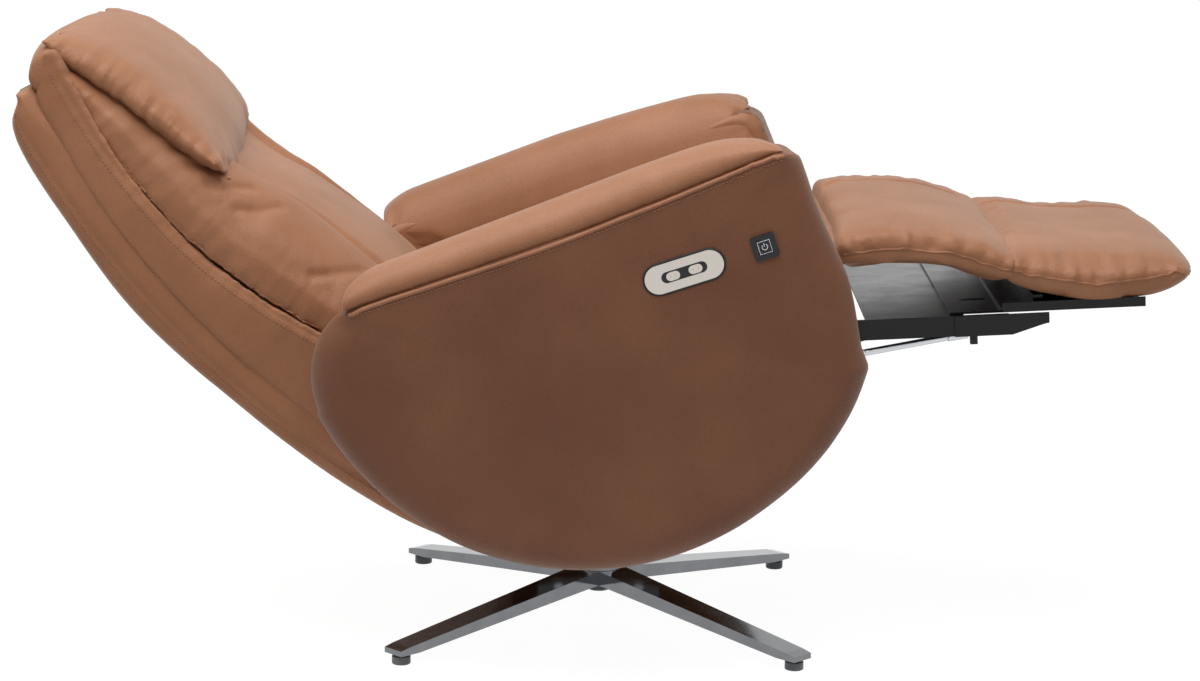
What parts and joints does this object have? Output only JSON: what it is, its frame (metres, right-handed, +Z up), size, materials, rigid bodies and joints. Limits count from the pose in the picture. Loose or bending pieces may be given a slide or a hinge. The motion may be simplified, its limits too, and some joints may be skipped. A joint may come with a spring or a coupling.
{
  "type": "recliner armchair",
  "caption": "Leather recliner armchair on a four-star swivel base: tilting body, folding back, head cushion and a footrest that swings out on steel rails.",
  "frame": {"origin": "on the floor under the hub, which is the middle of the footprint", "axes": "+X is the way the sitter faces, +Y is to the sitter's left, +Z is up"},
  "size_m": [1.5061, 0.7805, 0.7923],
  "materials": {
    "leather_top": "fine grain, aniline, tan",
    "leather_side": "fine grain, aniline, tan",
    "aluminium": "die cast, polished",
    "steel_black": "black powder coat, glossy",
    "steel_plain": "drawn tube",
    "wood": "beech plywood",
    "glide_plastic": "moulded",
    "bush_plastic": "moulded",
    "silver_trim": "satin",
    "black_plastic": "moulded",
    "rubber": "moulded"
  },
  "bodies": {
    "base": {"base_star": "aluminium", "foot_glides": "glide_plastic", "hub_cap": "glide_plastic", "column_sleeve": "steel_plain", "swivel_bush": "bush_plastic"},
    "swivel": {"column_post": "steel_plain", "swivel_plate": "steel_black", "tilt_yoke_left": "steel_black", "tilt_yoke_right": "steel_black", "tilt_pin": "steel_plain", "yoke_bolts": "steel_plain"},
    "seat": {"seat_side_left": "steel_black", "seat_side_right": "steel_black", "front_cross_tube": "steel_plain", "rear_cross_tube": "steel_plain", "seat_springs": "steel_plain", "seat_cushion": "leather_top", "recline_pins": "steel_plain", "footrest_pins": "steel_plain", "recline_motor": "black_plastic", "footrest_motor": "black_plastic", "arm_core_left": "wood", "arm_core_right": "wood", "arm_outer_pad_left": "leather_side", "arm_outer_pad_right": "leather_side", "arm_inner_pad_left": "leather_top", "arm_inner_pad_right": "leather_top", "arm_top_pad_left": "leather_top", "arm_top_pad_right": "leather_top", "control_plate": "silver_trim", "control_inlay": "black_plastic", "power_pad": "black_plastic"},
    "rocker_rear": {"rocker_rear": "silver_trim"},
    "rocker_front": {"rocker_front": "silver_trim"},
    "power_button": {"power_button": "black_plastic"},
    "back": {"back_side_left": "steel_black", "back_side_right": "steel_black", "back_crossbars": "steel_plain", "back_springs": "steel_plain", "back_cushion": "leather_top", "back_gusset_left": "leather_side", "back_gusset_right": "leather_side", "back_shell": "leather_side", "back_crown": "leather_top", "headrest_straps": "steel_black", "headrest_pin": "steel_plain"},
    "headrest": {"headrest_plate": "steel_plain", "headrest_pillow": "leather_top"},
    "leg_frame": {"inner_rail_left": "steel_black", "inner_rail_right": "steel_black", "inner_tray": "steel_black", "drive_rod": "silver_trim", "rail_bumpers": "rubber", "calf_pad": "leather_top"},
    "foot_slide": {"outer_rail_left": "steel_black", "outer_rail_right": "steel_black", "outer_tray": "steel_black", "foot_board": "steel_black", "foot_pad": "leather_top"}
  },
  "joints": [
    {"name": "swivel", "type": "hinge", "parent": "base", "child": "swivel", "pos_m": [0, 0, 0.1], "axis": [0, 0, 1], "continuous": true},
    {"name": "body_tilt", "type": "hinge", "parent": "swivel", "child": "seat", "pos_m": [0, 0, 0.3], "axis": [0, 1, 0], "range_deg": [0, 18.5]},
    {"name": "recline", "type": "hinge", "parent": "seat", "child": "back", "pos_m": [-0.20239, 0, 0.3061], "axis": [0, 1, 0], "range_deg": [0, 16]},
    {"name": "headrest_tilt", "type": "hinge", "parent": "back", "child": "headrest", "pos_m": [-0.67854, 0, 0.78003], "axis": [0, 1, 0], "range_deg": [-30, 0]},
    {"name": "footrest_swing", "type": "hinge", "parent": "seat", "child": "leg_frame", "pos_m": [0.26512, 0, 0.47518], "axis": [0, 1, 0], "range_deg": [0, 75], "deforming": ["calf_pad"]},
    {"name": "footrest_extend", "type": "slide", "parent": "leg_frame", "child": "foot_slide", "axis": [0.9981, 0, 0.061], "range_m": [-0.17, 0]},
    {"name": "rocker_rear_press", "type": "hinge", "parent": "seat", "child": "rocker_rear", "pos_m": [0.08354, -0.3912, 0.52936], "axis": [-0.3173, 0, 0.9483], "range_deg": [-4, 4], "stiffness_Nm_per_rad": 0.05},
    {"name": "rocker_front_press", "type": "hinge", "parent": "seat", "child": "rocker_front", "pos_m": [0.11009, -0.3912, 0.53824], "axis": [-0.3173, 0, 0.9483], "range_deg": [-4, 4], "stiffness_Nm_per_rad": 0.05},
    {"name": "power_press", "type": "slide", "parent": "seat", "child": "power_button", "axis": [0, 1, 0], "range_m": [0, 0.0008], "stiffness_N_per_m": 400}
  ],
  "couplings": [
    {"joint": "recline", "follows": "body_tilt", "ratio": 0.86486},
    {"joint": "footrest_extend", "follows": "footrest_swing", "m_per_rad": -0.12987}
  ]
}
